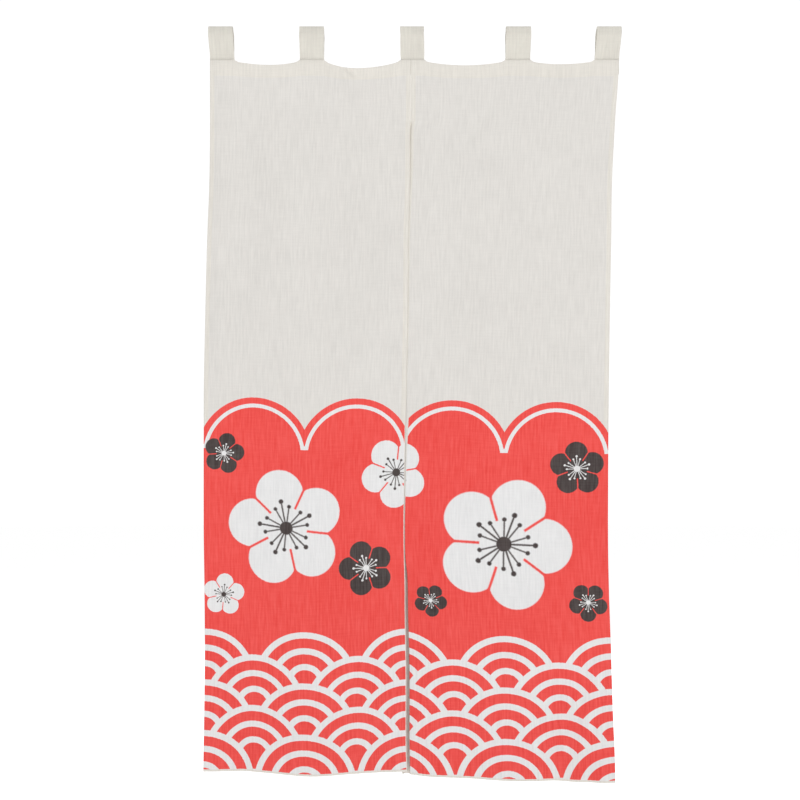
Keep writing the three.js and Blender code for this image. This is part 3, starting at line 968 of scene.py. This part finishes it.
def sewing_thread(design):
    """Cream cotton thread that has taken most of the dye where it crosses the design."""
    material, graph, shader = new_material("sewing_thread")
    place = graph.add("TexCoord").outputs["Object"]
    twist = graph.add("TexNoise")
    graph.feed(twist.inputs["Vector"], place)
    graph.feed(twist.inputs["Scale"], TWIST_SCALE)
    tone = twist.outputs["Fac"]
    shaded = graph.mix(tone, colour(THREAD_SHADE), colour(THREAD_CREAM))
    dyed = graph.place(design, Plan=plan_of(graph))
    cover = graph.maths("MULTIPLY", dyed["Cover"], THREAD_DYE)
    graph.feed(shader.inputs["Base Color"], graph.mix(cover, shaded, dyed["Dye"]))
    graph.feed(shader.inputs["Roughness"], graph.maths("MULTIPLY_ADD", tone, TWIST_CHANGE, TWIST_ROUGHNESS))
    add_bump(graph, shader, tone, TWIST_BUMP, TWIST_DEPTH)
    return material


# Stage
LENS, SENSOR = 85.0, 36.0  # millimetres
FRAME_HEIGHT = 1.6664  # what the picture takes in at the panels' front
CAMERA_X, CAMERA_Z = -0.0229, -0.7777
FLOOR_Z = -1.95
FLOOR_RADIUS = 14.0
FLOOR_SIDES = 128
FLOOR_ROUGHNESS = 0.9
FLOOR_SHADE = 1.2  # how far round the curtain the floor's glow is turned down, as painted shade
FLOOR_BLEND = 0.3  # how softly that ends
FLOOR_GLOW = (0.25, 0.62)  # how much painted light the floor gives of its own, within that and beyond
SKY_LIGHT = 0.405  # what it lights the curtain with
SKY_SEEN = 1.05  # how bright it is in the picture
LAMPS = {
    "name": ("key_lamp", "fill_lamp", "rear_lamp", "top_lamp"),
    "place": ((1.9, -4.4, 0.7), (-2.1, -4.4, -0.2), (0.6, 4.6, 0.4), (0.1, -0.2, 2.6)),
    "size": (3.2, 3.2, 3.2, 1.6),
    "watts": (44.0, 27.0, 53.0, 30.0),
}


def add_camera():
    distance = FRAME_HEIGHT * LENS / SENSOR
    place = (CAMERA_X, -PANEL_FACE - distance, CAMERA_Z)
    bpy.ops.object.camera_add(location=place, rotation=(math.pi / 2, 0, 0))
    camera = bpy.context.object
    camera.data.lens = LENS
    camera.data.sensor_width = SENSOR
    bpy.context.scene.camera = camera


def add_lamps():
    target = Vector((0, 0, CAMERA_Z))
    for name, place, size, watts in zip(*LAMPS.values()):
        bpy.ops.object.light_add(type="AREA", location=place)
        lamp = bpy.context.object
        lamp.name = name
        lamp.data.size = size
        lamp.data.energy = watts
        lamp.rotation_euler = (target - lamp.location).to_track_quat("-Z", "Y").to_euler()
        lamp.visible_camera = False


def add_sky():
    """Even white light from all round, seen as plain white."""
    world = bpy.data.worlds.new("studio")
    bpy.context.scene.world = world
    world.use_nodes = True
    graph = Graph(world.node_tree)
    seen = graph.add("LightPath").outputs["Is Camera Ray"]
    background = world.node_tree.nodes["Background"]
    strength = graph.maths("MULTIPLY_ADD", seen, SKY_SEEN - SKY_LIGHT, SKY_LIGHT)
    graph.feed(background.inputs["Strength"], strength)
    background.inputs["Color"].default_value = (1, 1, 1, 1)


def add_floor():
    deselect_all()
    bpy.ops.mesh.primitive_circle_add(
        vertices=FLOOR_SIDES, radius=FLOOR_RADIUS, fill_type="NGON", location=(0, 0, FLOOR_Z))
    floor = bpy.context.object
    floor.name = "studio_floor"
    bpy.ops.object.transform_apply(location=True, rotation=False, scale=False)
    material, graph, shader = new_material("studio_floor")
    place = graph.add("TexCoord").outputs["Object"]
    parts = graph.add("SeparateXYZ")
    graph.feed(parts.inputs[0], place)
    # The floor glows with painted light of its own, turned down round the curtain as painted shade
    near = graph.below(graph.distance(*parts.outputs[:2]), FLOOR_SHADE, FLOOR_BLEND)
    shader.inputs["Base Color"].default_value = colour(FLOOR_PALE)
    shader.inputs["Roughness"].default_value = FLOOR_ROUGHNESS
    shader.inputs["Emission Color"].default_value = (1, 1, 1, 1)
    glow = graph.maths("MULTIPLY_ADD", near, FLOOR_GLOW[0] - FLOOR_GLOW[1], FLOOR_GLOW[1])
    graph.feed(shader.inputs["Emission Strength"], glow)
    floor.data.materials.append(material)


bpy.context.scene.view_settings.view_transform = "Standard"
add_camera()
add_lamps()
add_sky()
add_floor()

weave = slub_weave_group()
design = print_group(blossom_group(), wave_row_group())
front_cotton = panel_cotton("panel_front", weave, design, FRONT_DYE)
rear_cotton = panel_cotton("panel_reverse", weave, design, REVERSE_DYE)
strip_cotton = loop_cotton(weave)
thread = sewing_thread(design)

for name, base, crown, width in zip(*LOOPS.values()):
    loop, length = make_loop(name, base, crown, width, strip_cotton)
    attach(loop, "root")
    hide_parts(name)

for name in ("panel_left", "panel_right"):
    panel = make_panel(name, front_cotton, rear_cotton)
    stitches = make_stitches(name, thread)
    for piece in (panel, stitches):
        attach(piece, "root")
    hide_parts(name)
